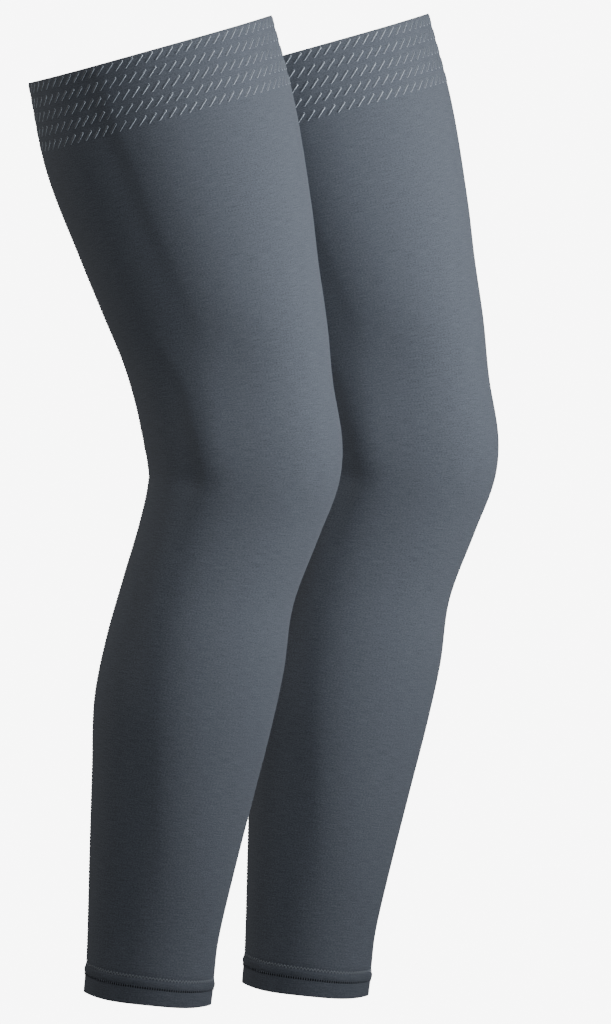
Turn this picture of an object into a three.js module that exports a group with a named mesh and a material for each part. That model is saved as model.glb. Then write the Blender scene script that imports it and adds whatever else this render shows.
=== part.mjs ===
// Pair of thermal leg warmers, thigh to ankle, filled out with no wearer. Millimetres, +Z up.
// The wearer would face +X: the right one is at -Y, and the left one is at +Y, a short step ahead.
// The origin lies midway between the centres of the two thigh openings, where the legs hold them up.
import * as THREE from "three";

// Place of the two leg warmers
const LEG_SPACING = 176;
const STEP_AHEAD = 114;
const STEP_UP = 1.5;

// Cloth
const CLOTH_THICKNESS = 1.5;
const EDGE_ROUNDING = 0.4;
const SEAM_GAP = 0.3;

// Each leg is one piece of cloth, but its solid is cut into short tubes, so that collision can follow it.
// to is the distance of a tube's lower end from the thigh opening, and the last one ends at the hem.
const TUBES = [
  { name: "thigh", to: 150 },
  { name: "lower_thigh", to: 262 },
  { name: "knee", to: 372 },
  { name: "calf", to: 525 },
  { name: "shin", to: Infinity },
];

// Turned-up ankle hem: a puffed ridge between its two rows of stitching, then a plain band
const RIDGE_HEIGHT = 6.6;
const RIDGE_PROUD = 1.3;
const RIDGE_STEPS = 4;
const STITCH_GROOVE = 1.2;
const GROOVE_PROUD = 0.4;
const GROOVE_DEPTH = 0.1;
const BAND_PROUD_TOP = 0.6;
const BAND_PROUD_FOOT = 1.0;
const HEM_THICKNESS = 2.6;
const FOOT_ROUNDING = 1.2;

// Fineness of the rings
const SEGMENTS = 36;
const RING_STEP = 23;

// Half the step, in radians, over which an outline's direction is taken
const ANGLE_STEP = 0.01;

// Sections of one leg warmer, from the thigh opening to the foot of the hem.
// down and forward place a section's centre, and inward moves it towards the other leg.
// tilt is the section's rise towards the front, in degrees. depth is front to back, width side to side.
// fullness moves the widest place forward, or back where it is negative.
// corner swells the four corners of the oval, as a share of its size.
// dip is how much lower the sides of a section lie than its front and back.
const COLUMNS = ["name", "down", "forward", "inward", "tilt", "depth", "width", "fullness", "corner", "dip"];
const SECTIONS = [
  ["thigh opening", 0, -0.5, 0, 15.6, 182.5, 163, 0.03, 0, 1],
  ["upper thigh", 64, 14.5, 2, 15.3, 186, 163, 0.04, 0, 0.5],
  ["middle thigh", 132.5, 33, 5, 14.5, 171.5, 152, 0.05, 0.01, 0],
  ["lower thigh", 173.5, 43.5, 7, 13.5, 160, 142, 0.05, 0.015, 0],
  ["above the knee", 213, 54, 9, 11.5, 150, 132, 0.04, 0.02, 0],
  ["top of the knee", 251.5, 61, 10, 8, 143, 124, 0.02, 0.03, 0],
  ["kneecap", 287, 67, 10, 2, 143, 121, 0, 0.04, 0],
  ["back of the knee", 312.5, 67, 10, -2, 137.5, 118, -0.02, 0.04, 0],
  ["under the knee", 346, 57, 10, -6, 129.5, 112, -0.04, 0.03, 0],
  ["top of the calf", 392, 41.5, 9, -9, 124.5, 112, -0.06, 0.02, 0],
  ["upper calf", 437, 32, 8, -10, 130.5, 117, -0.08, 0.01, 0],
  ["calf", 480.5, 23, 8, -10, 129.5, 116, -0.08, 0.01, 0],
  ["lower calf", 530, 16, 9, -9.5, 118.5, 106, -0.06, 0, 0.3],
  ["shin", 595.5, 7, 11, -8, 104, 90, -0.04, 0, 1.2],
  ["ankle", 640.5, 1.5, 12, -6.5, 95, 79, -0.02, 0, 3],
  ["top of the hem", 666.6, -0.5, 12, -7.3, 93, 77, 0, 0, 3.8],
  ["foot of the hem", 686.2, -2.5, 12, -5.8, 91, 76, 0, 0, 3.8],
].map((row) => Object.fromEntries(COLUMNS.map((column, i) => [column, row[i]])));

// Soft hollows and bulges, on the inner and outer side of each leg: place along the leg, angle from straight
// ahead in degrees, how far they reach along and round the leg, and how deep they sink the cloth
const HOLLOWS = [
  { name: "above the kneecap", along: 236, angle: 87, reach: 28, spread: 24, depth: 2.5 },
  { name: "side of the knee", along: 288, angle: 111, reach: 38, spread: 14, depth: -2.2 },
];

// Lines down the inner and outer side of each leg, where its flat side ends and the form turns to the back.
// A point gives its distance from the thigh opening, its angle from straight ahead in degrees, and how
// proud the flat side stands there. fall is how far, in degrees, the cloth falls behind the line.
const LINES = [
  {
    name: "thigh",
    fall: 8,
    points: [
      [-20, 117, 1.8],
      [30, 113, 2.4],
      [70, 107, 2.6],
      [136, 104, 2.2],
      [190, 100, 1],
      [222, 96, 0],
    ],
  },
  {
    name: "fold of the knee",
    fall: 8,
    points: [
      [200, 128, 0],
      [245, 115, 2],
      [280, 113, 3],
      [312, 111, 3.2],
      [345, 112, 1.8],
      [375, 116, 0],
    ],
  },
  {
    name: "calf",
    fall: 15,
    points: [
      [325, 126, 0],
      [368, 123, 2.8],
      [414, 119, 3],
      [484, 105, 2.8],
      [560, 94, 2],
      [640, 80, 0],
    ],
  },
];

// How far, in degrees, the flat side rises before a line
const LINE_RISE = 38;

// Distance of each section from the thigh opening, along the centre line
const distances = [0];
for (let i = 1; i < SECTIONS.length; i++) {
  const above = SECTIONS[i - 1];
  const here = SECTIONS[i];
  distances.push(distances[i - 1] + Math.hypot(here.down - above.down, here.forward - above.forward));
}
const LEG_LENGTH = distances.at(-1);
const HEM_TOP = distances.at(-2);

// Rate of change of a column at a row, from its neighbours
function slopeOf(column, row) {
  const before = Math.max(row - 1, 0);
  const after = Math.min(row + 1, SECTIONS.length - 1);
  return (SECTIONS[after][column] - SECTIONS[before][column]) / (distances[after] - distances[before]);
}

// Value of a column at a distance along the leg, on a smooth curve through the rows
function columnAt(column, along) {
  let row = distances.findLastIndex((distance) => distance <= along);
  row = Math.min(Math.max(row, 0), SECTIONS.length - 2);
  const span = distances[row + 1] - distances[row];
  const t = (along - distances[row]) / span;
  const start = SECTIONS[row][column];
  const end = SECTIONS[row + 1][column];
  const startSlope = slopeOf(column, row) * span;
  const endSlope = slopeOf(column, row + 1) * span;
  return (
    start * (1 + 2 * t) * (1 - t) ** 2 +
    startSlope * t * (1 - t) ** 2 +
    end * (3 - 2 * t) * t ** 2 -
    endSlope * (1 - t) * t ** 2
  );
}

// All the sizes of the section at a distance along the leg
function sectionAt(along) {
  return Object.fromEntries(COLUMNS.slice(1).map((column) => [column, columnAt(column, along)]));
}

// A section's outline at an angle from straight ahead: x is forwards, y is outwards, from its centre
function outlineAt(section, angle) {
  const c = Math.cos(angle);
  const s = Math.sin(angle);
  const swell = 1 + section.corner * (2 * c * s) ** 2;
  const ahead = (section.depth / 2) * c;
  const outwards = (section.width / 2) * s * (1 + section.fullness * c);
  return new THREE.Vector2(ahead, outwards).multiplyScalar(swell);
}

// How deep one soft hollow is at a place on the leg
function hollowDepth(hollow, along, fromFront) {
  const down = (along - hollow.along) / hollow.reach;
  const round = (fromFront - hollow.angle) / hollow.spread;
  return hollow.depth * Math.exp(-(down ** 2) - round ** 2);
}

// How proud the flat side before one line stands at a place on the leg
function lineHeight(line, along, fromFront) {
  const next = line.points.findIndex(([place]) => place > along);
  if (next < 1) return 0;
  const [start, startAngle, startHeight] = line.points[next - 1];
  const [end, endAngle, endHeight] = line.points[next];
  const t = (along - start) / (end - start);
  const behind = fromFront - THREE.MathUtils.lerp(startAngle, endAngle, t);
  const reach = behind < 0 ? LINE_RISE : line.fall;
  return THREE.MathUtils.lerp(startHeight, endHeight, t) * Math.exp(-((behind / reach) ** 2));
}

// How far the soft hollows sink the cloth at a place on the leg, less how far its lines lift it
function sunkAt(along, angle) {
  const fromFront = THREE.MathUtils.radToDeg(Math.acos(Math.cos(angle)));
  const hollows = HOLLOWS.reduce((sum, hollow) => sum + hollowDepth(hollow, along, fromFront), 0);
  return LINES.reduce((sum, line) => sum - lineHeight(line, along, fromFront), hollows);
}

// One closed ring of points round the leg, moved out from the cloth's outer face by the given amount.
// side is 1 on the left leg and -1 on the right, where the ring is a mirror image.
function ringAt(along, out, side) {
  const section = sectionAt(along);
  const tilt = THREE.MathUtils.degToRad(section.tilt);
  const centre = new THREE.Vector3(section.forward, -section.inward, -section.down);
  const forwards = new THREE.Vector3(Math.cos(tilt), 0, Math.sin(tilt));
  const upwards = new THREE.Vector3(-Math.sin(tilt), 0, Math.cos(tilt));
  const points = [];
  for (let i = 0; i < SEGMENTS; i++) {
    const angle = (2 * Math.PI * i) / SEGMENTS;
    const tangent = outlineAt(section, angle + ANGLE_STEP).sub(outlineAt(section, angle - ANGLE_STEP));
    const normal = new THREE.Vector2(tangent.y, -tangent.x).normalize();
    const place = outlineAt(section, angle).addScaledVector(normal, out - sunkAt(along, angle));
    const point = centre.clone();
    point.addScaledVector(forwards, place.x);
    point.y += place.y;
    point.addScaledVector(upwards, -section.dip * (1 - Math.cos(angle) ** 4));
    point.y *= side;
    points.push(point);
  }
  return points;
}

// A closed body from a loop of rings: each entry of the profile gives a ring's place along and out
function clothBody(profile, side) {
  const rings = profile.map(({ along, out }) => ringAt(along, out, side));
  const positions = rings.flat().flatMap((point) => point.toArray());
  const indices = [];
  for (let ring = 0; ring < rings.length; ring++) {
    const nextRing = (ring + 1) % rings.length;
    for (let i = 0; i < SEGMENTS; i++) {
      const next = (i + 1) % SEGMENTS;
      const a = ring * SEGMENTS + i;
      const b = nextRing * SEGMENTS + i;
      const c = ring * SEGMENTS + next;
      const d = nextRing * SEGMENTS + next;
      if (side > 0) indices.push(a, b, c, c, b, d);
      else indices.push(a, c, b, c, d, b);
    }
  }
  const geometry = new THREE.BufferGeometry();
  geometry.setAttribute("position", new THREE.Float32BufferAttribute(positions, 3));
  geometry.setIndex(indices);
  geometry.computeVertexNormals();
  return geometry;
}

// Tube of leg cloth: outer face down to its lower end, then the inner face back up
function tubeProfile(top, bottom) {
  const steps = Math.ceil((bottom - top) / RING_STEP);
  const levels = Array.from({ length: steps + 1 }, (_, i) => top + ((bottom - top) * i) / steps);
  const outer = levels.map((along) => ({ along, out: 0 }));
  const inner = levels.map((along) => ({ along, out: -CLOTH_THICKNESS })).reverse();
  return [...outer, ...inner];
}

// The rounded cut edge that closes the highest tube at the thigh opening
const THIGH_EDGE = [
  { along: 0, out: EDGE_ROUNDING - CLOTH_THICKNESS },
  { along: 0, out: -EDGE_ROUNDING },
];

// Ankle hem: the puffed ridge, the stitched groove, the flared band with its rounded foot, and the inner face
function hemProfile() {
  const top = HEM_TOP + SEAM_GAP;
  const ridgeFoot = top + RIDGE_HEIGHT;
  const bandTop = ridgeFoot + STITCH_GROOVE;
  const foot = LEG_LENGTH;
  const ridge = Array.from({ length: RIDGE_STEPS + 1 }, (_, i) => {
    const least = i > RIDGE_STEPS / 2 ? GROOVE_PROUD : 0;
    const out = Math.max(RIDGE_PROUD * Math.sin((Math.PI * i) / RIDGE_STEPS), least);
    return { along: top + (RIDGE_HEIGHT * i) / RIDGE_STEPS, out };
  });
  return [
    ...ridge,
    { along: ridgeFoot + STITCH_GROOVE / 2, out: GROOVE_PROUD - GROOVE_DEPTH },
    { along: bandTop, out: BAND_PROUD_TOP },
    { along: foot - FOOT_ROUNDING, out: BAND_PROUD_FOOT },
    { along: foot - FOOT_ROUNDING / 3, out: BAND_PROUD_FOOT - FOOT_ROUNDING / 3 },
    { along: foot, out: BAND_PROUD_FOOT - FOOT_ROUNDING },
    { along: foot, out: FOOT_ROUNDING / 2 - HEM_THICKNESS },
    { along: foot - FOOT_ROUNDING, out: -HEM_THICKNESS },
    { along: ridgeFoot, out: -HEM_THICKNESS },
    { along: top, out: -HEM_THICKNESS },
  ];
}

function clothMaterial(colour) {
  return new THREE.MeshStandardMaterial({ color: colour, roughness: 0.9, metalness: 0 });
}

function namedMesh(name, geometry, material) {
  const mesh = new THREE.Mesh(geometry, material);
  mesh.name = name;
  return mesh;
}

const pair = new THREE.Group();
const legCloth = clothMaterial(0x59616c);
const hemCloth = clothMaterial(0x4e555f);
for (const [legName, side] of [["right", -1], ["left", 1]]) {
  const leg = new THREE.Group();
  leg.position.set((side * STEP_AHEAD) / 2, (side * LEG_SPACING) / 2, (side * STEP_UP) / 2);
  let top = EDGE_ROUNDING;
  for (const { name, to } of TUBES) {
    const profile = tubeProfile(top, Math.min(to, HEM_TOP));
    if (name === "thigh") profile.push(...THIGH_EDGE);
    leg.add(namedMesh(`${legName}_${name}_panel`, clothBody(profile, side), legCloth));
    top = to + SEAM_GAP;
  }
  leg.add(namedMesh(`${legName}_ankle_hem`, clothBody(hemProfile(), side), hemCloth));
  pair.add(leg);
}

export default pair;
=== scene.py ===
"""Pair of thermal leg warmers: brushed knit, grip bars and stitching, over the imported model."""

import math

import bpy
import numpy as np
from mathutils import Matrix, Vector


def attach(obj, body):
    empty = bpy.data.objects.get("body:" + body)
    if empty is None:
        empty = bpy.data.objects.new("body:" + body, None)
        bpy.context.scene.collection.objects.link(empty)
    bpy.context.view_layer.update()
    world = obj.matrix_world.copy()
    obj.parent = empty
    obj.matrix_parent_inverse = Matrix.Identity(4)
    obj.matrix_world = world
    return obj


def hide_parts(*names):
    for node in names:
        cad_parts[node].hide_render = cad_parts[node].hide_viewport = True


bl_info = {
    "name": "Pair of leg warmers",
    "version": (1, 0, 0),
    "blender": (4, 5, 0),
    "location": "3D View > Sidebar > Leg warmers",
    "description": "Builds a pair of thermal leg warmers with grip bars and a stitched ankle hem",
    "category": "Object",
}

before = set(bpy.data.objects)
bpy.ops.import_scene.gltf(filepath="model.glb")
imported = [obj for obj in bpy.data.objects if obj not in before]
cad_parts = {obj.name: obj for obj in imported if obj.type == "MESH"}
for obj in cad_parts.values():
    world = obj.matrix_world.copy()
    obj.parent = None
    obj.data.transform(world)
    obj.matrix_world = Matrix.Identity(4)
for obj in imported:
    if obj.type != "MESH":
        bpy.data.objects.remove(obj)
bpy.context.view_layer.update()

MM = 0.001

# Place of the two leg warmers, in millimetres
LEG_SPACING = 176
STEP_AHEAD = 114
STEP_UP = 1.5
SIDES = {"right": -1, "left": 1}

# Cloth and turned-up hem, in millimetres. Flatness and squareness are powers that shape a round face.
CLOTH_THICKNESS = 1.5
EDGE_ROUNDING = 0.4
SEAM_GAP = 0.3
TUCK = 0.7
TUCK_DEPTH = 0.5
RIDGE_HEIGHT = 6.6
RIDGE_PROUD = 1.3
RIDGE_FLATNESS = 2.6
STITCH_GROOVE = 1.0
GROOVE_PROUD = 0.4
GROOVE_DEPTH = 0.15
BAND_PROUD_TOP = 0.6
BAND_PROUD_FOOT = 1.0
HEM_THICKNESS = 2.6
FOOT_ROUNDING = 1.2
FOOT_SQUARENESS = 0.7

# Fineness of the cloth, in millimetres along the leg and points round it
RING_STEP = 4.5
HEM_STEP = 0.5
POINTS_ROUND = 168

# Fineness of one bar or stitch, as faces round it and rings from end to end
BAR_SEGMENTS = 8
BAR_RINGS = 6

# Sewing, in millimetres and degrees. A width share is a part of the distance between two stitches.
HEM_GIRTH = 265
ZIGZAG_HEIGHT = 1.7
ZIGZAG_ABOVE_RIDGE = 0.6
THREAD_PROUD = 0.3
LOWER_ROW_BELOW_RIDGE = 0.1
STITCH_LENGTH = 1.9
STITCH_WIDTH_SHARE = 0.46
STITCH_PROUD = 0.5
# The needle holes are dark dots of painted shade laid on the hem, proud of its face
HOLE_LENGTH = 1.7
HOLE_WIDTH_SHARE = 0.6
HOLE_PROUD = 0.4
SEAM_PITCH = 2.4
SEAM_MARGIN = 2
SEAM_SLANT = 72

# Painted highlight lines of a grip bar, seen from outside the leg: where each starts and where it is full,
# from 0 at the bar's middle to 1 at its side or end, and how strong it is. The stronger right side stands
# for the side that faces the main light.
BAR_PAINTED_HIGHLIGHTS = {
    "right side": (0.5, 0.6, 1.0),
    "left side": (0.72, 0.82, 0.35),
    "ends": (0.88, 0.95, 0.6),
}

# Finish of the brushed knit, by the shader's own names, and its nap, whose height is in metres
KNIT_FINISH = {
    "Roughness": 0.92,
    "Specular IOR Level": 0.2,
    "Sheen Roughness": 0.45,
    "Sheen Tint": (0.75, 0.85, 1, 1),
}
NAP_STRENGTH = 0.25
NAP_HEIGHT = 0.0002

# Soft boxes. Places, aims and sizes are in metres and the spread is in degrees.
# share is the part of the power that the named stage setting gives.
LIGHT_COLUMNS = ("place", "aim", "size", "setting", "share", "spread", "colour")
WHITE = (1, 1, 1)
WARM_WHITE = (1, 0.93, 0.84)
LIGHTS = {
    "main light": ((2.4, -0.5, 0.5), (0.03, 0, -0.05), (0.7, 0.9), "key_power", 1, 30, WHITE),
    "low light": ((2.3, -0.7, -0.5), (0.03, 0, -0.36), (0.7, 0.9), "key_power", 0.2, 28, WHITE),
    "corner light": ((1.7, -1.7, 0.6), (0.03, 0, -0.1), (0.3, 0.4), "key_power", 0.48, 36, WHITE),
    "front fill": ((0.7, -2.5, 0.6), (0.05, 0, -0.2), (1.2, 1.2), "fill_power", 1, 40, WHITE),
    "back fill": ((-2.0, 0.6, 0.4), (0, 0, -0.2), (0.8, 1.2), "back_power", 1, 60, WARM_WHITE),
}
BACKDROP_STRENGTH = 8.0

# Floor and camera, in metres. The picture is as high as the photo, at the scale of its pixels,
# and the sensor is in millimetres.
FLOOR_REACH = 2.4
FLOOR_HEIGHT = -0.8
CAMERA_AIM = (0.0548, -0.088, -0.335)
PHOTO_HEIGHT_PIXELS = 1024
MILLIMETRES_A_PIXEL = 0.722
SENSOR_WIDTH = 36

# Sections of one leg warmer, from the thigh opening to the foot of the hem, in millimetres and degrees.
# down and forward place a section's centre, and inward moves it towards the other leg.
# fullness moves the widest place forward, corner swells the oval's corners, dip lowers its two sides.
COLUMNS = ("down", "forward", "inward", "tilt", "depth", "width", "fullness", "corner", "dip")
SECTIONS = {
    "thigh opening": (0, -0.5, 0, 15.6, 182.5, 163, 0.03, 0, 1),
    "upper thigh": (64, 14.5, 2, 15.3, 186, 163, 0.04, 0, 0.5),
    "middle thigh": (132.5, 33, 5, 14.5, 171.5, 152, 0.05, 0.01, 0),
    "lower thigh": (173.5, 43.5, 7, 13.5, 160, 142, 0.05, 0.015, 0),
    "above the knee": (213, 54, 9, 11.5, 150, 132, 0.04, 0.02, 0),
    "top of the knee": (251.5, 61, 10, 8, 143, 124, 0.02, 0.03, 0),
    "kneecap": (287, 67, 10, 2, 143, 121, 0, 0.04, 0),
    "back of the knee": (312.5, 67, 10, -2, 137.5, 118, -0.02, 0.04, 0),
    "under the knee": (346, 57, 10, -6, 129.5, 112, -0.04, 0.03, 0),
    "top of the calf": (392, 41.5, 9, -9, 124.5, 112, -0.06, 0.02, 0),
    "upper calf": (437, 32, 8, -10, 130.5, 117, -0.08, 0.01, 0),
    "calf": (480.5, 23, 8, -10, 129.5, 116, -0.08, 0.01, 0),
    "lower calf": (530, 16, 9, -9.5, 118.5, 106, -0.06, 0, 0.3),
    "shin": (595.5, 7, 11, -8, 104, 90, -0.04, 0, 1.2),
    "ankle": (640.5, 1.5, 12, -6.5, 95, 79, -0.02, 0, 3),
    "top of the hem": (666.6, -0.5, 12, -7.3, 93, 77, 0, 0, 3.8),
    "foot of the hem": (686.2, -2.5, 12, -5.8, 91, 76, 0, 0, 3.8),
}

# Soft hollows, bulges and creases on both sides of each leg.
# along is the distance from the thigh opening and angle is from straight ahead, in degrees.
# reach and spread are how far each goes along and round the leg, rise tips it, depth is in millimetres.
FOLD_COLUMNS = ("along", "angle", "reach", "spread", "rise", "depth")
FOLDS = {
    "hollow above the kneecap": (236, 87, 28, 24, 0, 2.5),
    "side of the knee": (288, 111, 38, 14, 0, -2.2),
    "pit at the knee fold": (322, 120, 9, 13, 0, 1.4),
    "crease above the knee fold": (286, 172, 5, 30, 0.10, 0.35),
    "crease at the knee fold": (301, 178, 6, 34, 0.06, 0.5),
    "crease below the knee fold": (318, 170, 5, 30, -0.08, 0.4),
}

# Lines down both sides of each leg, where its flat side ends and the form turns to the back.
# Each has rows of distance along, angle and how proud the flat side stands there. LINE_REACH gives
# how far, in degrees, the flat side rises before each line and falls behind it.
LINE_REACH = {"thigh": (30, 7), "fold of the knee": (38, 7), "calf": (38, 15)}
LINES = {
    "thigh": ((-20, 115, 3.6), (30, 112, 3.8), (70, 107, 3.4), (136, 104, 2.4), (190, 100, 1), (222, 96, 0)),
    "fold of the knee": (
        (200, 128, 0),
        (245, 115, 2.0),
        (280, 113, 3.0),
        (312, 111, 3.2),
        (345, 112, 1.8),
        (375, 116, 0),
    ),
    "calf": ((325, 126, 0), (368, 123, 2.8), (414, 119, 3.0), (484, 105, 2.8), (560, 94, 2.0), (640, 80, 0)),
}

TABLE = np.array(list(SECTIONS.values()), float)
CENTRES = TABLE[:, :2]
DISTANCES = np.concatenate([[0], np.cumsum(np.hypot(*np.diff(CENTRES, axis=0).T))])
LEG_LENGTH = float(DISTANCES[-1])
HEM_TOP = float(DISTANCES[-2])
RIDGE_TOP = HEM_TOP + SEAM_GAP
RIDGE_FOOT = RIDGE_TOP + RIDGE_HEIGHT
BAND_TOP = RIDGE_FOOT + STITCH_GROOVE


def slopes_between(places, rows):
    """Rate of change of every column at every row, from the neighbouring rows."""
    numbers = np.arange(len(rows))
    before = np.maximum(numbers - 1, 0)
    after = np.minimum(numbers + 1, len(rows) - 1)
    return (rows[after] - rows[before]) / (places[after] - places[before])[:, None]


def curve_at(places, rows, wanted):
    """Every column at the wanted places, on a smooth curve through the rows."""
    wanted = np.asarray(wanted, float)
    slopes = slopes_between(places, rows)
    row = np.clip(np.searchsorted(places, wanted, side="right") - 1, 0, len(rows) - 2)
    span = (places[row + 1] - places[row])[..., None]
    t = (wanted - places[row])[..., None] / span
    start = rows[row] * (1 + 2 * t) * (1 - t) ** 2
    start_slope = slopes[row] * span * t * (1 - t) ** 2
    end = rows[row + 1] * (3 - 2 * t) * t**2
    end_slope = slopes[row + 1] * span * (1 - t) * t**2
    return start + start_slope + end - end_slope


def sections_at(along):
    """Every column of the section table at distances along the leg."""
    values = curve_at(DISTANCES, TABLE, along)
    return {column: values[..., i] for i, column in enumerate(COLUMNS)}


def outline_at(section, angle):
    """Place on a section's outline: forwards and outwards from its centre."""
    c = np.cos(angle)
    s = np.sin(angle)
    swell = 1 + section["corner"] * (2 * c * s) ** 2
    ahead = section["depth"] / 2 * c * swell
    outwards = section["width"] / 2 * s * (1 + section["fullness"] * c) * swell
    return ahead, outwards


def sunk_at(along, angle):
    """How far the soft hollows and creases sink the cloth, less how far its lines lift it."""
    from_front = np.degrees(np.arccos(np.cos(angle)))
    sunk = np.zeros(np.broadcast(along, angle).shape)
    for values in FOLDS.values():
        fold = dict(zip(FOLD_COLUMNS, values))
        round_off = from_front - fold["angle"]
        down = (along - fold["along"] - fold["rise"] * round_off) / fold["reach"]
        sunk += fold["depth"] * np.exp(-(down**2) - (round_off / fold["spread"]) ** 2)
    for name, line in LINES.items():
        rise, fall = LINE_REACH[name]
        rows = np.array(line, float)
        places = rows[:, 0]
        values = curve_at(places, rows[:, 1:], np.clip(along, places[0], places[-1]))
        behind = from_front - values[..., 0]
        reach = np.where(behind < 0, rise, fall)
        sunk -= np.maximum(values[..., 1], 0) * np.exp(-((behind / reach) ** 2))
    return sunk


def cloth_points(along, out, turn, side):
    """Points of a leg warmer, in metres. turn goes anticlockwise from straight ahead, seen from above."""
    section = sections_at(along)
    angle = turn * side
    step = 0.01
    ahead, outwards = outline_at(section, angle)
    ahead_next, outwards_next = outline_at(section, angle + step)
    ahead_last, outwards_last = outline_at(section, angle - step)
    slope_ahead = ahead_next - ahead_last
    slope_outwards = outwards_next - outwards_last
    size = np.hypot(slope_ahead, slope_outwards)
    moved = out - sunk_at(along, angle)
    ahead = ahead + moved * slope_outwards / size
    outwards = outwards - moved * slope_ahead / size
    raised = -section["dip"] * (1 - np.cos(angle) ** 4)
    tilt = np.radians(section["tilt"])
    x = section["forward"] + ahead * np.cos(tilt) - raised * np.sin(tilt)
    y = side * (outwards - section["inward"])
    z = -section["down"] + ahead * np.sin(tilt) + raised * np.cos(tilt)
    place = np.array([STEP_AHEAD, LEG_SPACING, STEP_UP]) * side / 2
    return (np.stack([x, y, z], axis=-1) + place) * MM


def steps_between(start, end, step):
    """Even steps from start to end, none longer than step."""
    return np.linspace(start, end, max(2, math.ceil((end - start) / step) + 1))


def hem_out(along):
    """How proud the hem's outer face stands: a puffed ridge, a stitched groove and a flared band."""
    across_ridge = 2 * np.clip((along - RIDGE_TOP) / RIDGE_HEIGHT, 0, 1) - 1
    foot = np.where(across_ridge > 0, GROOVE_PROUD, 0)
    ridge = RIDGE_PROUD - (RIDGE_PROUD - foot) * np.abs(across_ridge) ** RIDGE_FLATNESS
    across = np.clip((along - RIDGE_FOOT) / STITCH_GROOVE, 0, 1)
    groove = -GROOVE_DEPTH * np.sin(np.pi * across)
    shoulder = (BAND_PROUD_TOP - GROOVE_PROUD) * np.clip(2 * across, 0, 1)
    down_band = np.clip((along - BAND_TOP) / (LEG_LENGTH - BAND_TOP), 0, 1)
    return ridge + groove + shoulder + (BAND_PROUD_FOOT - BAND_PROUD_TOP) * down_band


def panel_profile():
    """Loop of (along, out) for the leg cloth: outer face, inner face, rounded edge at the thigh."""
    top = EDGE_ROUNDING
    outer = [(a, 0) for a in steps_between(top, HEM_TOP, RING_STEP)]
    tuck = [(HEM_TOP + TUCK, -TUCK_DEPTH), (HEM_TOP + TUCK, -CLOTH_THICKNESS)]
    inner = [(a, -CLOTH_THICKNESS) for a in steps_between(top, HEM_TOP, RING_STEP)][::-1]
    turns = np.radians(np.arange(-60, 61, 30))
    centre_out = -CLOTH_THICKNESS / 2
    edge = [
        (top - EDGE_ROUNDING * math.cos(a), centre_out + CLOTH_THICKNESS / 2 * math.sin(a))
        for a in turns
    ]
    return np.array(outer + tuck + inner + edge)


def hem_profile():
    """Loop of (along, out) for the hem: ridge, groove, band, rounded foot and inner face."""
    foot = LEG_LENGTH - FOOT_ROUNDING
    outer = [(a, float(hem_out(a))) for a in steps_between(RIDGE_TOP, foot, HEM_STEP)]
    reach = (float(hem_out(foot)) + HEM_THICKNESS) / 2
    middle = float(hem_out(foot)) - reach
    turns = np.radians(np.arange(75, -76, -15))
    rounded = [
        (foot + FOOT_ROUNDING * math.cos(a) ** FOOT_SQUARENESS, middle + reach * math.sin(a))
        for a in turns
    ]
    inner = [(a, -HEM_THICKNESS) for a in steps_between(RIDGE_TOP, foot, 2 * HEM_STEP)][::-1]
    return np.array(outer + rounded + inner)


def turns_round():
    """Angles round the leg, from the seam at the back and back to it."""
    return np.linspace(-math.pi, math.pi, POINTS_ROUND + 1)


def lengths_round(rings):
    """Distance of each point from the back seam, along each open ring, in metres."""
    sides = np.linalg.norm(np.diff(rings, axis=1), axis=2)
    return np.concatenate([np.zeros((len(rings), 1)), np.cumsum(sides, axis=1)], axis=1)


def new_mesh_object(name, points, faces):
    """A smooth mesh of four-sided faces, put in the scene."""
    mesh = bpy.data.meshes.new(name)
    mesh.vertices.add(len(points))
    mesh.vertices.foreach_set("co", np.asarray(points, np.float32).ravel())
    mesh.loops.add(len(faces) * 4)
    mesh.loops.foreach_set("vertex_index", np.asarray(faces, np.int32).ravel())
    mesh.polygons.add(len(faces))
    mesh.polygons.foreach_set("loop_start", np.arange(len(faces), dtype=np.int32) * 4)
    mesh.update(calc_edges=True)
    mesh.validate()
    mesh.shade_smooth()
    thing = bpy.data.objects.new(name, mesh)
    bpy.context.scene.collection.objects.link(thing)
    return thing


def set_uv(mesh, name, values):
    """A UV map from one pair of numbers for each face corner."""
    layer = mesh.uv_layers.new(name=name)
    layer.data.foreach_set("uv", np.asarray(values, np.float32).ravel())


def cloth_shell(name, profile, side):
    """A closed cloth wall round a leg, with a UV map in metres that follows the knit."""
    along = profile[:, :1]
    rings = cloth_points(along, profile[:, 1:], turns_round()[None, :], side)
    lengths = lengths_round(rings)
    from_front = lengths - lengths[:, -1:] / 2
    weave = np.stack([from_front, np.broadcast_to(along * MM, from_front.shape)], axis=-1)
    ring_count = len(profile)
    ring = np.arange(ring_count)[:, None]
    following = (ring + 1) % ring_count
    here = np.arange(POINTS_ROUND)[None, :]
    after = (here + 1) % POINTS_ROUND
    corners = [(ring, here), (following, here), (following, after), (ring, after)]
    faces = np.stack([r * POINTS_ROUND + p for r, p in corners], axis=-1)
    ends = [(ring, here), (following, here), (following, here + 1), (ring, here + 1)]
    uv = np.stack([weave[r, p] for r, p in ends], axis=2)
    thing = new_mesh_object(name, rings[:, :-1].reshape(-1, 3), faces.reshape(-1, 4))
    set_uv(thing.data, "Weave", uv.reshape(-1, 2))
    return thing


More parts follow.
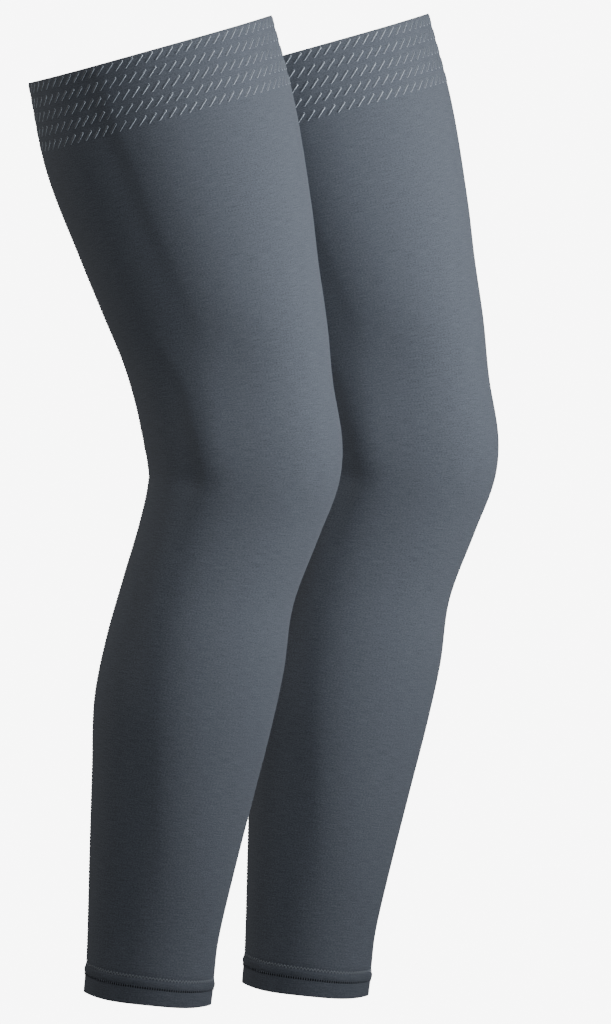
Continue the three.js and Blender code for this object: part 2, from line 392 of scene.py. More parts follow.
def guide_surface(name, side):
    """An open copy of a leg's outer face, with a UV map from 0 to 1, for stitches and bars to follow."""
    on_panel = steps_between(EDGE_ROUNDING, HEM_TOP, RING_STEP)
    on_hem = steps_between(RIDGE_TOP, LEG_LENGTH, HEM_STEP)
    along = np.concatenate([on_panel, on_hem])
    out = np.concatenate([np.zeros(len(on_panel)), hem_out(on_hem)])
    rings = cloth_points(along[:, None], out[:, None], turns_round()[None, :], side)
    lengths = lengths_round(rings)
    shares = lengths / lengths[:, -1:]
    count = POINTS_ROUND + 1
    row = np.arange(len(along) - 1)[:, None]
    column = np.arange(POINTS_ROUND)[None, :]
    corners = [(row, column), (row + 1, column), (row + 1, column + 1), (row, column + 1)]
    faces = np.stack([r * count + c for r, c in corners], axis=-1).reshape(-1, 4)
    thing = new_mesh_object(name, rings.reshape(-1, 3), faces)
    places = np.stack([shares, np.broadcast_to(along[:, None] / LEG_LENGTH, shares.shape)], axis=-1)
    set_uv(thing.data, "Place", places.reshape(-1, 2)[faces.ravel()])
    girth = thing.data.attributes.new("girth", "FLOAT", "POINT")
    girth.data.foreach_set("value", np.repeat(lengths[:, -1], count).astype(np.float32))
    return thing


def add_node(tree, kind, inputs=None, **settings):
    """A node with its settings and inputs. An input is a value or the socket it is linked from."""
    node = tree.nodes.new(kind)
    for name, value in settings.items():
        setattr(node, name, value)
    for name, value in (inputs or {}).items():
        socket = node.inputs[name]
        if isinstance(value, bpy.types.NodeSocket):
            tree.links.new(value, socket)
        else:
            socket.default_value = value
    return node


def maths(tree, kind, operation, *values):
    """The result of either kind of Math node."""
    node = add_node(tree, kind, dict(enumerate(values)), operation=operation)
    return node.outputs[0]


def scalar(tree, operation, *values):
    """The result of a Math node on numbers."""
    return maths(tree, "ShaderNodeMath", operation, *values)


def vector(tree, operation, *values):
    """The result of a Math node on vectors."""
    return maths(tree, "ShaderNodeVectorMath", operation, *values)


PATTERN_INPUTS = (
    ("Rows", "NodeSocketInt", 5),
    ("Items in a Row", "NodeSocketInt", 70),
    ("First Row", "NodeSocketFloat", 0.01),
    ("Row Pitch", "NodeSocketFloat", 0.01),
    ("Start Round", "NodeSocketFloat", 0.0),
    ("Leg Length", "NodeSocketFloat", 0.7),
    ("Item Length", "NodeSocketFloat", 0.01),
    ("Item Width", "NodeSocketFloat", 0.002),
    ("Item Height", "NodeSocketFloat", 0.001),
    ("Slant", "NodeSocketFloat", 0.0),
    ("Alternate", "NodeSocketFloat", 0.0),
    ("Finish", "NodeSocketMaterial", None),
)


def item_shape(tree, given):
    """One rounded bar, lying along Y, from a sphere of few faces whose two ends are drawn apart."""
    ball = add_node(
        tree,
        "GeometryNodeMeshUVSphere",
        {"Segments": BAR_SEGMENTS, "Rings": BAR_RINGS, "Radius": 1.0},
    )
    turned = add_node(
        tree,
        "GeometryNodeTransform",
        {"Geometry": ball.outputs["Mesh"], "Rotation": (0, 0, math.pi / BAR_SEGMENTS)},
    )
    place = add_node(tree, "GeometryNodeInputPosition").outputs[0]
    parts = add_node(tree, "ShaderNodeSeparateXYZ", {0: place})
    half_width = scalar(tree, "MULTIPLY", given["Item Width"], 0.5)
    spare = scalar(tree, "SUBTRACT", given["Item Length"], given["Item Width"])
    half_spare = scalar(tree, "MULTIPLY", spare, 0.5)
    drawn = scalar(tree, "MULTIPLY", scalar(tree, "SIGN", parts.outputs["Y"]), half_spare)
    reach = scalar(tree, "ADD", scalar(tree, "MULTIPLY", parts.outputs["Y"], half_width), drawn)
    shaped = add_node(
        tree,
        "ShaderNodeCombineXYZ",
        {
            "X": scalar(tree, "MULTIPLY", parts.outputs["X"], half_width),
            "Y": reach,
            "Z": scalar(tree, "MULTIPLY", parts.outputs["Z"], given["Item Height"]),
        },
    )
    half_length = scalar(tree, "MULTIPLY", given["Item Length"], 0.5)
    share = add_node(
        tree,
        "ShaderNodeCombineXYZ",
        {"X": parts.outputs["X"], "Y": scalar(tree, "DIVIDE", reach, half_length), "Z": parts.outputs["Z"]},
    )
    # Each point's place on the bar, which the shader uses for the painted highlight lines
    marked = add_node(
        tree,
        "GeometryNodeStoreNamedAttribute",
        {"Geometry": turned.outputs["Geometry"], "Name": "Bar", "Value": share.outputs[0]},
        data_type="FLOAT_VECTOR",
        domain="POINT",
    )
    bar = add_node(
        tree,
        "GeometryNodeSetPosition",
        {"Geometry": marked.outputs["Geometry"], "Position": shaped.outputs[0]},
    )
    return bar.outputs["Geometry"]


def sampled(tree, guide, value, kind, place):
    """A value of the guide's surface at a place on its UV map."""
    uv = add_node(tree, "GeometryNodeInputNamedAttribute", {"Name": "Place"}, data_type="FLOAT_VECTOR")
    node = add_node(tree, "GeometryNodeSampleUVSurface", data_type=kind)
    tree.links.new(guide, node.inputs["Mesh"])
    tree.links.new(value, node.inputs["Value"])
    tree.links.new(uv.outputs["Attribute"], node.inputs["Source UV Map"])
    tree.links.new(place, node.inputs["Sample UV"])
    return node.outputs["Value"]


def pattern_tree():
    """Geometry Nodes tree that lays rows of small rounded bars on a leg's outer face."""
    tree = bpy.data.node_groups.new("Rows on the Cloth", "GeometryNodeTree")
    tree.interface.new_socket("Geometry", in_out="INPUT", socket_type="NodeSocketGeometry")
    tree.interface.new_socket("Geometry", in_out="OUTPUT", socket_type="NodeSocketGeometry")
    for name, kind, default in PATTERN_INPUTS:
        socket = tree.interface.new_socket(name, in_out="INPUT", socket_type=kind)
        if default is not None:
            socket.default_value = default
    given = add_node(tree, "NodeGroupInput").outputs
    guide = given["Geometry"]

    items = given["Items in a Row"]
    index = add_node(tree, "GeometryNodeInputIndex").outputs[0]
    row = scalar(tree, "FLOOR", scalar(tree, "DIVIDE", scalar(tree, "ADD", index, 0.5), items))
    column = scalar(tree, "SUBTRACT", index, scalar(tree, "MULTIPLY", row, items))
    centre = add_node(
        tree,
        "ShaderNodeCombineXYZ",
        {
            "X": scalar(tree, "ADD", scalar(tree, "DIVIDE", column, items), given["Start Round"]),
            "Y": scalar(tree, "ADD", given["First Row"], scalar(tree, "MULTIPLY", row, given["Row Pitch"])),
        },
    )
    points = add_node(
        tree,
        "GeometryNodePoints",
        {"Count": scalar(tree, "MULTIPLY", given["Rows"], items), "Position": centre.outputs[0]},
    )
    place = add_node(tree, "GeometryNodeInputPosition").outputs[0]
    kept = add_node(tree, "GeometryNodeCaptureAttribute", domain="POINT")
    kept.capture_items.new("VECTOR", "Centre")
    tree.links.new(points.outputs[0], kept.inputs["Geometry"])
    tree.links.new(place, kept.inputs["Centre"])

    odd = scalar(tree, "FLOORED_MODULO", scalar(tree, "ADD", row, column), 2.0)
    swing = scalar(tree, "MULTIPLY", scalar(tree, "MULTIPLY", odd, 2.0), given["Alternate"])
    flip = scalar(tree, "SUBTRACT", 1.0, swing)
    turn = add_node(tree, "ShaderNodeCombineXYZ", {"Z": scalar(tree, "MULTIPLY", given["Slant"], flip)})
    copies = add_node(
        tree,
        "GeometryNodeInstanceOnPoints",
        {
            "Points": kept.outputs["Geometry"],
            "Instance": item_shape(tree, given),
            "Rotation": turn.outputs[0],
        },
    )
    real = add_node(tree, "GeometryNodeRealizeInstances", {"Geometry": copies.outputs["Instances"]})

    centre_kept = kept.outputs["Centre"]
    offset = add_node(tree, "ShaderNodeSeparateXYZ", {0: vector(tree, "SUBTRACT", place, centre_kept)})
    parts = add_node(tree, "ShaderNodeSeparateXYZ", {0: centre_kept})
    from_top = scalar(tree, "ADD", parts.outputs["Y"], offset.outputs["Y"])
    down = scalar(tree, "DIVIDE", from_top, given["Leg Length"])
    middle = add_node(tree, "ShaderNodeCombineXYZ", {"X": 0.5, "Y": down})
    girth_name = add_node(tree, "GeometryNodeInputNamedAttribute", {"Name": "girth"}, data_type="FLOAT")
    girth = sampled(tree, guide, girth_name.outputs["Attribute"], "FLOAT", middle.outputs[0])
    across = scalar(tree, "ADD", parts.outputs["X"], scalar(tree, "DIVIDE", offset.outputs["X"], girth))
    here = add_node(tree, "ShaderNodeCombineXYZ", {"X": scalar(tree, "FRACT", across), "Y": down})
    surface = sampled(tree, guide, place, "FLOAT_VECTOR", here.outputs[0])
    normal = add_node(tree, "GeometryNodeInputNormal").outputs["Normal"]
    outward = sampled(tree, guide, normal, "FLOAT_VECTOR", here.outputs[0])
    lifted = add_node(
        tree,
        "ShaderNodeVectorMath",
        {0: outward, "Scale": offset.outputs["Z"]},
        operation="SCALE",
    )
    laid = add_node(
        tree,
        "GeometryNodeSetPosition",
        {
            "Geometry": real.outputs["Geometry"],
            "Position": vector(tree, "ADD", surface, lifted.outputs[0]),
        },
    )
    smooth = add_node(tree, "GeometryNodeSetShadeSmooth", {"Geometry": laid.outputs["Geometry"]})
    finished = add_node(
        tree,
        "GeometryNodeSetMaterial",
        {"Geometry": smooth.outputs["Geometry"], "Material": given["Finish"]},
    )
    add_node(tree, "NodeGroupOutput", {"Geometry": finished.outputs["Geometry"]})
    return tree


def laid_rows(name, side_name, finish, **sizes):
    """A plain mesh of rows of small bars on one leg, made by the pattern tree."""
    tree = bpy.data.node_groups.get("Rows on the Cloth") or pattern_tree()
    guide = guide_surface(f"{name}_guide", SIDES[side_name])
    modifier = guide.modifiers.new("Rows", "NODES")
    modifier.node_group = tree
    sockets = {
        item.name: item.identifier
        for item in tree.interface.items_tree
        if item.item_type == "SOCKET" and item.in_out == "INPUT"
    }
    sizes["Leg Length"] = LEG_LENGTH * MM
    for socket_name, value in sizes.items():
        modifier[sockets[socket_name]] = value
    modifier[sockets["Finish"]] = finish
    evaluated = guide.evaluated_get(bpy.context.evaluated_depsgraph_get())
    mesh = bpy.data.meshes.new_from_object(evaluated)
    guide.modifiers.remove(modifier)
    bpy.data.objects.remove(guide)
    if len(mesh.vertices) == 0:
        raise RuntimeError(f"{name}: the rows came out empty")
    mesh.name = name
    thing = bpy.data.objects.new(name, mesh)
    bpy.context.scene.collection.objects.link(thing)
    return thing


KNIT_INPUTS = (
    ("Cloth", "NodeSocketColor", (0.1, 0.1, 0.1, 1)),
    ("Fleck", "NodeSocketColor", (0.2, 0.2, 0.2, 1)),
    ("Heather", "NodeSocketFloat", 0.3),
    ("Streak Length", "NodeSocketFloat", 0.02),
    ("Streak Width", "NodeSocketFloat", 0.0007),
    ("Grain", "NodeSocketFloat", 0.2),
    ("Grain Size", "NodeSocketFloat", 0.0006),
)


def knit_group():
    """Shader group for brushed knit: heathered colour with fine streaks, and a height for its nap."""
    group = bpy.data.node_groups.get("Brushed Knit")
    if group:
        return group
    group = bpy.data.node_groups.new("Brushed Knit", "ShaderNodeTree")
    for name, kind, default in KNIT_INPUTS:
        group.interface.new_socket(name, in_out="INPUT", socket_type=kind).default_value = default
    group.interface.new_socket("Colour", in_out="OUTPUT", socket_type="NodeSocketColor")
    group.interface.new_socket("Height", in_out="OUTPUT", socket_type="NodeSocketFloat")
    given = add_node(group, "NodeGroupInput").outputs
    uv = add_node(group, "ShaderNodeUVMap", uv_map="Weave").outputs["UV"]
    streak_size = add_node(
        group,
        "ShaderNodeCombineXYZ",
        {"X": given["Streak Length"], "Y": given["Streak Width"], "Z": 1.0},
    )
    streaks = add_node(
        group,
        "ShaderNodeTexNoise",
        {"Vector": vector(group, "DIVIDE", uv, streak_size.outputs[0]), "Scale": 1.0, "Detail": 2.0},
        noise_dimensions="2D",
    )
    grain_size = add_node(
        group,
        "ShaderNodeCombineXYZ",
        {"X": scalar(group, "MULTIPLY", given["Grain Size"], 1.8), "Y": given["Grain Size"], "Z": 1.0},
    )
    grain = add_node(
        group,
        "ShaderNodeTexNoise",
        {"Vector": vector(group, "DIVIDE", uv, grain_size.outputs[0]), "Scale": 1.0, "Detail": 1.0},
        noise_dimensions="2D",
    )
    centred_streaks = scalar(group, "SUBTRACT", streaks.outputs["Fac"], 0.5)
    centred_grain = scalar(group, "SUBTRACT", grain.outputs["Fac"], 0.5)
    streak_part = scalar(group, "MULTIPLY", centred_streaks, given["Heather"])
    grain_part = scalar(group, "MULTIPLY", centred_grain, given["Grain"])
    share = scalar(group, "ADD", scalar(group, "ADD", streak_part, grain_part), 0.5)
    clamped = add_node(group, "ShaderNodeClamp", {"Value": share})
    colour = add_node(group, "ShaderNodeMix", data_type="RGBA")
    group.links.new(clamped.outputs[0], colour.inputs["Factor"])
    group.links.new(given["Cloth"], colour.inputs[6])
    group.links.new(given["Fleck"], colour.inputs[7])
    streak_height = scalar(group, "MULTIPLY", streaks.outputs["Fac"], 0.5)
    height = scalar(group, "ADD", grain.outputs["Fac"], streak_height)
    add_node(group, "NodeGroupOutput", {"Colour": colour.outputs[2], "Height": height})
    return group


def new_material(name, values):
    """A material whose shader has the given plain values, with its tree and that shader."""
    material = bpy.data.materials.new(name)
    material.use_nodes = True
    tree = material.node_tree
    shader = tree.nodes["Principled BSDF"]
    for socket, value in values.items():
        shader.inputs[socket].default_value = value
    return material, tree, shader


def cloth_material(name, colour, settings):
    """Matt brushed knit. colour is its middle tone, and the flecks go darker and lighter from it."""
    material, tree, shader = new_material(name, {**KNIT_FINISH, "Sheen Weight": settings.sheen})
    knit = add_node(
        tree,
        "ShaderNodeGroup",
        {
            "Cloth": [c * (1 - settings.spread) for c in colour] + [1],
            "Fleck": [c * (1 + settings.spread) for c in colour] + [1],
            "Heather": settings.heather,
            "Streak Length": settings.streak_length,
            "Streak Width": settings.streak_width,
            "Grain": settings.grain,
            "Grain Size": settings.grain_size,
        },
        node_tree=knit_group(),
    )
    bump = add_node(
        tree,
        "ShaderNodeBump",
        {"Height": knit.outputs["Height"], "Strength": NAP_STRENGTH, "Distance": NAP_HEIGHT},
    )
    tree.links.new(knit.outputs["Colour"], shader.inputs["Base Color"])
    tree.links.new(bump.outputs["Normal"], shader.inputs["Normal"])
    return material


BAR_INPUTS = (
    ("Crown", "NodeSocketColor", (0.13, 0.15, 0.17, 1)),
    ("Painted Highlight", "NodeSocketColor", (0.4, 0.44, 0.48, 1)),
)


def bar_highlight_group():
    """Shader group for a clear grip bar: the cloth's tone on the crown and painted highlight lines along the
    edges.
    """
    group = bpy.data.node_groups.new("Bar Painted Highlights", "ShaderNodeTree")
    for name, kind, default in BAR_INPUTS:
        group.interface.new_socket(name, in_out="INPUT", socket_type=kind).default_value = default
    group.interface.new_socket("Colour", in_out="OUTPUT", socket_type="NodeSocketColor")
    given = add_node(group, "NodeGroupInput").outputs
    place = add_node(group, "ShaderNodeAttribute", attribute_name="Bar").outputs["Vector"]
    parts = add_node(group, "ShaderNodeSeparateXYZ", {0: place})
    places = {
        "right side": parts.outputs["X"],
        "left side": scalar(group, "MULTIPLY", parts.outputs["X"], -1.0),
        "ends": scalar(group, "ABSOLUTE", parts.outputs["Y"]),
    }
    masks = []
    for name, (start, full, strength) in BAR_PAINTED_HIGHLIGHTS.items():
        mask = add_node(
            group,
            "ShaderNodeMapRange",
            {"Value": places[name], "From Min": start, "From Max": full, "To Max": strength},
        )
        masks.append(mask.outputs["Result"])
    light = scalar(group, "MAXIMUM", scalar(group, "MAXIMUM", masks[0], masks[1]), masks[2])
    coordinates = add_node(group, "ShaderNodeTexCoord").outputs["Object"]
    speckle = add_node(group, "ShaderNodeTexNoise", {"Vector": coordinates, "Scale": 900.0, "Detail": 1.0})
    broken = add_node(
        group,
        "ShaderNodeMapRange",
        {"Value": speckle.outputs["Fac"], "From Min": 0.35, "From Max": 0.6, "To Min": 0.45},
    )
    share = scalar(group, "MULTIPLY", light, broken.outputs["Result"])
    colour = add_node(group, "ShaderNodeMix", data_type="RGBA")
    group.links.new(share, colour.inputs["Factor"])
    group.links.new(given["Crown"], colour.inputs[6])
    group.links.new(given["Painted Highlight"], colour.inputs[7])
    add_node(group, "NodeGroupOutput", {"Colour": colour.outputs[2]})
    return group


def bar_material(crown, edge):
    """Clear satin rubber printed on the cloth, with painted highlight lines along its edges."""
    material, tree, shader = new_material("Grip bars", {"Roughness": 0.5, "Specular IOR Level": 0.25})
    highlight_look = add_node(
        tree,
        "ShaderNodeGroup",
        {"Crown": [*crown, 1], "Painted Highlight": [*edge, 1]},
        node_tree=bar_highlight_group(),
    )
    tree.links.new(highlight_look.outputs["Colour"], shader.inputs["Base Color"])
    return material


def thread_material(name, colour, roughness, specular):
    """One plain colour, as on thread and on the shade of needle holes."""
    values = {"Base Color": [*colour, 1], "Roughness": roughness, "Specular IOR Level": specular}
    return new_material(name, values)[0]


def floor_material(colour, light):
    """Pale floor, lit from within as far as a white studio floor is by its own lamps."""
    values = {
        "Base Color": [*colour, 1],
        "Roughness": 0.9,
        "Emission Color": (1, 1, 1, 1),
        "Emission Strength": light,
    }
    return new_material("Floor", values)[0]


def colour_setting(name, description, default):
    """A colour that a user may change."""
    return bpy.props.FloatVectorProperty(
        name=name, description=description, default=default, size=3, min=0, max=1, subtype="COLOR"
    )


class ClothSettings(bpy.types.PropertyGroup):
    """Colour and texture of the brushed knit."""

    colour: colour_setting("Leg cloth", "Middle tone of the brushed knit", (0.105, 0.12, 0.147))
    hem_colour: colour_setting("Hem cloth", "Middle tone of the turned-up hem", (0.092, 0.105, 0.129))
    spread: bpy.props.FloatProperty(
        name="Fleck contrast",
        description="How far the flecks go from the middle tone",
        default=0.5,
        min=0,
        max=1,
        subtype="FACTOR",
    )
    heather: bpy.props.FloatProperty(
        name="Streaks",
        description="Strength of the fine streaks across the leg",
        default=0.5,
        min=0,
        max=2,
        subtype="FACTOR",
    )
    streak_length: bpy.props.FloatProperty(
        name="Streak length",
        description="Length of a streak round the leg",
        default=0.012,
        unit="LENGTH",
    )
    streak_width: bpy.props.FloatProperty(
        name="Streak width",
        description="Width of a streak along the leg",
        default=0.0006,
        unit="LENGTH",
    )
    grain: bpy.props.FloatProperty(
        name="Grain",
        description="Strength of the fine speckle",
        default=0.85,
        min=0,
        max=2,
        subtype="FACTOR",
    )
    grain_size: bpy.props.FloatProperty(
        name="Grain size",
        description="Size of the fine speckle",
        default=0.0007,
        unit="LENGTH",
    )
    sheen: bpy.props.FloatProperty(
        name="Nap",
        description="Strength of the soft light that the nap catches at the edges",
        default=0.12,
        min=0,
        max=1,
        subtype="FACTOR",
    )


class GripSettings(bpy.types.PropertyGroup):
    """Sizes and colour of the raised grip bars."""

    rows: bpy.props.IntProperty(
        name="Rows", description="Rows of bars under the thigh opening", default=5, min=1
    )
    bars: bpy.props.IntProperty(
        name="Bars in a row", description="Bars all round one leg", default=73, min=4
    )
    first_row: bpy.props.FloatProperty(
        name="First row",
        description="Distance of the first row's middle from the edge",
        default=0.0046,
        unit="LENGTH",
    )
    row_pitch: bpy.props.FloatProperty(
        name="Row pitch", description="Distance between rows", default=0.0108, unit="LENGTH"
    )
    length: bpy.props.FloatProperty(
        name="Bar length", description="Length of a bar", default=0.0095, unit="LENGTH"
    )
    width: bpy.props.FloatProperty(
        name="Bar width", description="Width of a bar", default=0.0019, unit="LENGTH"
    )
    height: bpy.props.FloatProperty(
        name="Bar height", description="How proud a bar stands", default=0.0004, unit="LENGTH"
    )
    slant: bpy.props.FloatProperty(
        name="Slant",
        description="Angle of a bar from the way along the leg",
        default=math.radians(48),
        unit="ROTATION",
    )
    crown_colour: colour_setting(
        "Crown", "Tone of the bars' crowns, where the cloth shows through", (0.105, 0.12, 0.145)
    )
    # Colour of the painted highlight lines along the bars' edges, not the rubber's own colour
    highlight_colour: colour_setting(
        "Edges", "Tone of the light lines along the bars' edges", (0.72, 0.82, 0.94)
    )


class StitchSettings(bpy.types.PropertyGroup):
    """Sizes and colour of the sewing."""

    thread: bpy.props.FloatProperty(
        name="Thread", description="Thickness of the thread", default=0.0006, unit="LENGTH"
    )
    zigzag_pitch: bpy.props.FloatProperty(
        name="Zigzag pitch",
        description="Length of one tooth of the hem's zigzag",
        default=0.00245,
        unit="LENGTH",
    )
    row_pitch: bpy.props.FloatProperty(
        name="Hem stitch pitch",
        description="Length of one stitch of the hem's lower row",
        default=0.00175,
        unit="LENGTH",
    )
    seam_width: bpy.props.FloatProperty(
        name="Back seam width",
        description="Width of the flat seam down the back",
        default=0.005,
        unit="LENGTH",
    )
    colour: colour_setting("Colour", "Colour of the thread", (0.22, 0.245, 0.28))
    # A darker copy of the thread's colour: painted shade where the lower row sinks into the cloth
    sunk_shade_colour: colour_setting(
        "Lower row", "Tone of the lower row's stitches, drawn into the cloth", (0.13, 0.145, 0.175)
    )
    # Near-black colour of the painted shade in the needle holes
    hole_shade_colour: colour_setting(
        "Needle hole shade", "Tone of the shaded holes between the lower row's stitches", (0.012, 0.014, 0.017)
    )


class StageSettings(bpy.types.PropertyGroup):
    """Light, floor and camera."""

    key_power: bpy.props.FloatProperty(
        name="Main light", description="Power of the main light", default=2.25, unit="POWER"
    )
    fill_power: bpy.props.FloatProperty(
        name="Front fill", description="Power of the weak light in front", default=1.14, unit="POWER"
    )
    back_power: bpy.props.FloatProperty(
        name="Back fill", description="Power of the weak light behind", default=1.72, unit="POWER"
    )
    sky: bpy.props.FloatProperty(
        name="Surroundings", description="Strength of the light from all round", default=0.12, min=0
    )
    floor_colour: colour_setting("Floor", "Colour of the floor", (0.8, 0.8, 0.8))
    floor_light: bpy.props.FloatProperty(
        name="Floor light", description="How bright the floor is by its own lamps", default=2.5, min=0
    )
    camera_distance: bpy.props.FloatProperty(
        name="Camera distance", description="Distance of the camera", default=20, unit="LENGTH"
    )


class LEGWARMER_OT_cloth(bpy.types.Operator):
    """Build the two leg panels of brushed knit"""

    bl_idname = "legwarmer.cloth"
    bl_label = "Leg cloth"

    def execute(self, context):
        settings = context.scene.legwarmer_cloth
        material = cloth_material("Leg cloth", settings.colour, settings)
        for side_name, side in SIDES.items():
            panel = cloth_shell(f"{side_name}_leg_cloth", panel_profile(), side)
            panel.data.materials.append(material)
            nodes = [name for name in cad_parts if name.startswith(side_name) and name.endswith("panel")]
            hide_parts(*nodes)
            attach(panel, "root")
        return {"FINISHED"}


class LEGWARMER_OT_hems(bpy.types.Operator):
    """Build the two turned-up ankle hems"""

    bl_idname = "legwarmer.hems"
    bl_label = "Ankle hems"

    def execute(self, context):
        settings = context.scene.legwarmer_cloth
        material = cloth_material("Hem cloth", settings.hem_colour, settings)
        for side_name, side in SIDES.items():
            hem = cloth_shell(f"{side_name}_hem_cloth", hem_profile(), side)
            hem.data.materials.append(material)
            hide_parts(f"{side_name}_ankle_hem")
            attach(hem, "root")
        return {"FINISHED"}


class LEGWARMER_OT_grip(bpy.types.Operator):
    """Lay the rows of raised grip bars round the thigh openings"""

    bl_idname = "legwarmer.grip"
    bl_label = "Grip bars"

    def execute(self, context):
        grip = context.scene.legwarmer_grip
        # The bars' material carries painted highlight lines along their edges
        material = bar_material(grip.crown_colour, grip.highlight_colour)
        for side_name in SIDES:
            bars = laid_rows(
                f"{side_name}_grip_bars",
                side_name,
                material,
                **{
                    "Rows": grip.rows,
                    "Items in a Row": grip.bars,
                    "First Row": grip.first_row,
                    "Row Pitch": grip.row_pitch,
                    "Item Length": grip.length,
                    "Item Width": grip.width,
                    "Item Height": grip.height,
                    "Slant": grip.slant,
                },
            )
            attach(bars, "root")
        return {"FINISHED"}


def sewing_rows(stitch):
    """Sizes of every row of sewing on one leg, for the pattern tree."""
    teeth = round(HEM_GIRTH * MM / stitch.zigzag_pitch)
    holes = round(HEM_GIRTH * MM / stitch.row_pitch)
    lean = math.atan2(stitch.zigzag_pitch / 2, ZIGZAG_HEIGHT * MM)
    seam_length = HEM_TOP - 2 * SEAM_MARGIN
    lower_row = {
        "Rows": 1,
        "Items in a Row": holes,
        "First Row": (RIDGE_FOOT + LOWER_ROW_BELOW_RIDGE) * MM,
    }
    return {
        "hem_zigzag": {
            "Rows": 1,
            "Items in a Row": 2 * teeth,
            "First Row": (RIDGE_TOP - ZIGZAG_ABOVE_RIDGE) * MM,
            "Item Length": ZIGZAG_HEIGHT * MM / math.cos(lean) + stitch.thread,
            "Item Width": stitch.thread,
            "Item Height": THREAD_PROUD * MM,
            "Slant": lean,
            "Alternate": 1.0,
        },
        "hem_stitches": {
            **lower_row,
            "Item Length": STITCH_LENGTH * MM,
            "Item Width": STITCH_WIDTH_SHARE * stitch.row_pitch,
            "Item Height": STITCH_PROUD * MM,
        },
        # Near-black dots between the lower row's stitches: painted shade in the needle holes
        "hem_needle_hole_shade": {
            **lower_row,
            "Start Round": 0.5 / holes,
            "Item Length": HOLE_LENGTH * MM,
            "Item Width": HOLE_WIDTH_SHARE * stitch.row_pitch,
            "Item Height": HOLE_PROUD * MM,
        },
        "back_seam": {
            "Rows": round(seam_length / SEAM_PITCH),
            "Items in a Row": 1,
            "First Row": SEAM_MARGIN * MM,
            "Row Pitch": SEAM_PITCH * MM,
            "Item Length": stitch.seam_width,
            "Item Width": stitch.thread,
            "Item Height": THREAD_PROUD * MM,
            "Slant": math.radians(SEAM_SLANT),
            "Alternate": 1.0,
        },
    }


class LEGWARMER_OT_sewing(bpy.types.Operator):
    """Sew the hem's zigzag and lower row, and the flat seam down the back"""

    bl_idname = "legwarmer.sewing"
    bl_label = "Sewing"

    def execute(self, context):
        stitch = context.scene.legwarmer_stitch
        thread = thread_material("Sewing thread", stitch.colour, roughness=0.7, specular=0.3)
        # The lower row's thread is a darker copy of the sewing thread: painted shade
        shaded_sunk_thread = thread_material("Shaded sunk thread", stitch.sunk_shade_colour, roughness=0.8, specular=0.2)
        # The needle holes get a near-black colour: painted shade
        painted_hole_shade = thread_material("Needle hole shade", stitch.hole_shade_colour, roughness=0.9, specular=0.1)
        finishes = {"hem_stitches": shaded_sunk_thread, "hem_needle_hole_shade": painted_hole_shade}
        for side_name in SIDES:
            for name, sizes in sewing_rows(stitch).items():
                finish = finishes.get(name, thread)
                sewn = laid_rows(f"{side_name}_{name}", side_name, finish, **sizes)
                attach(sewn, "root")
        return {"FINISHED"}


def area_light(name, values, stage):
    """A soft box at a place, turned to a point."""
    box = dict(zip(LIGHT_COLUMNS, values))
    light = bpy.data.lights.new(name, "AREA")
    light.shape = "RECTANGLE"
    light.size, light.size_y = box["size"]
    light.energy = box["share"] * getattr(stage, box["setting"])
    light.spread = math.radians(box["spread"])
    light.color = box["colour"]
    lamp = bpy.data.objects.new(name, light)
    lamp.location = box["place"]
    lamp.rotation_euler = (Vector(box["aim"]) - Vector(box["place"])).to_track_quat("-Z", "Y").to_euler()
    bpy.context.scene.collection.objects.link(lamp)


def white_world(strength):
    """Pale surroundings: white to the camera, and a weak even fill for the cloth."""
    world = bpy.data.worlds.new("Pale surroundings")
    world.use_nodes = True
    bpy.context.scene.world = world
    tree = world.node_tree
    shader = tree.nodes["Background"]
    seen = add_node(tree, "ShaderNodeLightPath").outputs["Is Camera Ray"]
    shader.inputs["Color"].default_value = (1, 1, 1, 1)
    level = add_node(
        tree,
        "ShaderNodeMapRange",
        {"Value": seen, "To Min": strength, "To Max": BACKDROP_STRENGTH},
    )
    tree.links.new(level.outputs["Result"], shader.inputs["Strength"])


def pale_floor(stage):
    """A flat pale floor that throws no light on the cloth."""
    edges = ((-1, -1), (1, -1), (1, 1), (-1, 1))
    corners = [(FLOOR_REACH * x, FLOOR_REACH * y, FLOOR_HEIGHT) for x, y in edges]
    floor = new_mesh_object("floor", corners, [(0, 1, 2, 3)])
    floor.data.materials.append(floor_material(stage.floor_colour, stage.floor_light))
    floor.visible_diffuse = False
    floor.visible_glossy = False
    return floor


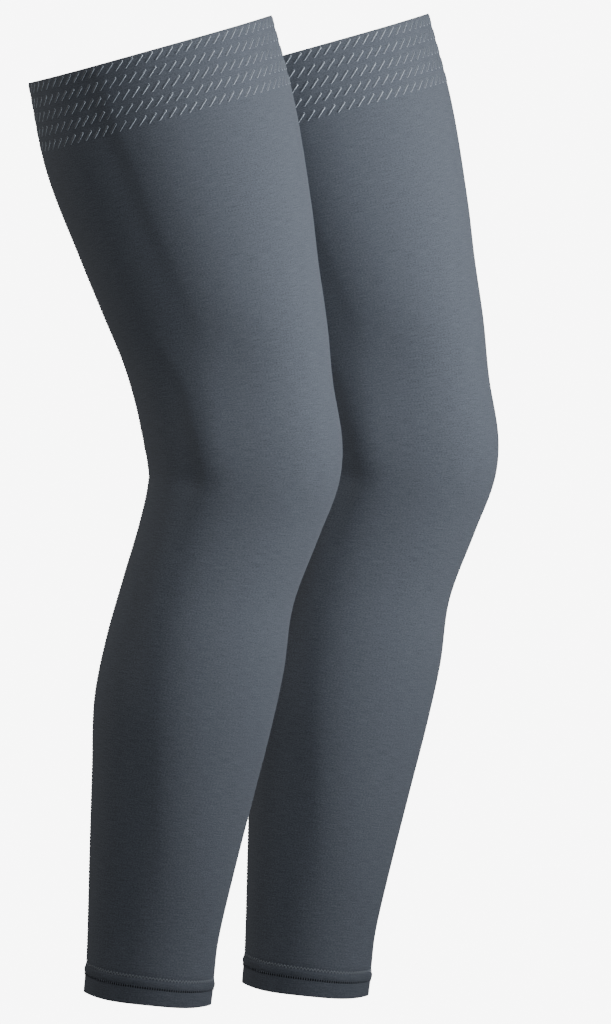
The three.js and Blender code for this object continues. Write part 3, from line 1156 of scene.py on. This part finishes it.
def photo_camera(distance):
    """A long lens, level with the thigh openings, that frames the pair as the photo does."""
    camera = bpy.data.objects.new("camera", bpy.data.cameras.new("camera"))
    aim = Vector(CAMERA_AIM)
    camera.location = (aim.x, -distance, 0)
    camera.rotation_euler = (aim - camera.location).to_track_quat("-Z", "Y").to_euler()
    picture_height = PHOTO_HEIGHT_PIXELS * MILLIMETRES_A_PIXEL * MM
    camera.data.sensor_width = SENSOR_WIDTH
    camera.data.lens = SENSOR_WIDTH * (aim - camera.location).length / picture_height
    camera.data.clip_start = 1
    camera.data.clip_end = 100
    bpy.context.scene.collection.objects.link(camera)
    bpy.context.scene.camera = camera


class LEGWARMER_OT_stage(bpy.types.Operator):
    """Set up the floor, the lights and the camera"""

    bl_idname = "legwarmer.stage"
    bl_label = "Stage"

    def execute(self, context):
        stage = context.scene.legwarmer_stage
        pale_floor(stage)
        for name, values in LIGHTS.items():
            area_light(name, values, stage)
        white_world(stage.sky)
        photo_camera(stage.camera_distance)
        return {"FINISHED"}


OPERATORS = (
    LEGWARMER_OT_cloth,
    LEGWARMER_OT_hems,
    LEGWARMER_OT_grip,
    LEGWARMER_OT_sewing,
    LEGWARMER_OT_stage,
)

SETTINGS = {
    "legwarmer_cloth": ClothSettings,
    "legwarmer_grip": GripSettings,
    "legwarmer_stitch": StitchSettings,
    "legwarmer_stage": StageSettings,
}


class LEGWARMER_PT_panel(bpy.types.Panel):
    """Lists the pieces of the leg warmers"""

    bl_label = "Leg warmers"
    bl_idname = "LEGWARMER_PT_panel"
    bl_space_type = "VIEW_3D"
    bl_region_type = "UI"
    bl_category = "Leg warmers"

    def draw(self, context):
        for operator in OPERATORS:
            self.layout.operator(operator.bl_idname)


def register():
    for settings in SETTINGS.values():
        bpy.utils.register_class(settings)
    for operator in OPERATORS:
        bpy.utils.register_class(operator)
    bpy.utils.register_class(LEGWARMER_PT_panel)
    for name, settings in SETTINGS.items():
        setattr(bpy.types.Scene, name, bpy.props.PointerProperty(type=settings))


def unregister():
    for name in SETTINGS:
        delattr(bpy.types.Scene, name)
    bpy.utils.unregister_class(LEGWARMER_PT_panel)
    for operator in reversed(OPERATORS):
        bpy.utils.unregister_class(operator)
    for settings in SETTINGS.values():
        bpy.utils.unregister_class(settings)


def main():
    register()
    bpy.ops.legwarmer.cloth()
    bpy.ops.legwarmer.hems()
    bpy.ops.legwarmer.grip()
    bpy.ops.legwarmer.sewing()
    bpy.ops.legwarmer.stage()


if __name__ == "__main__":
    main()
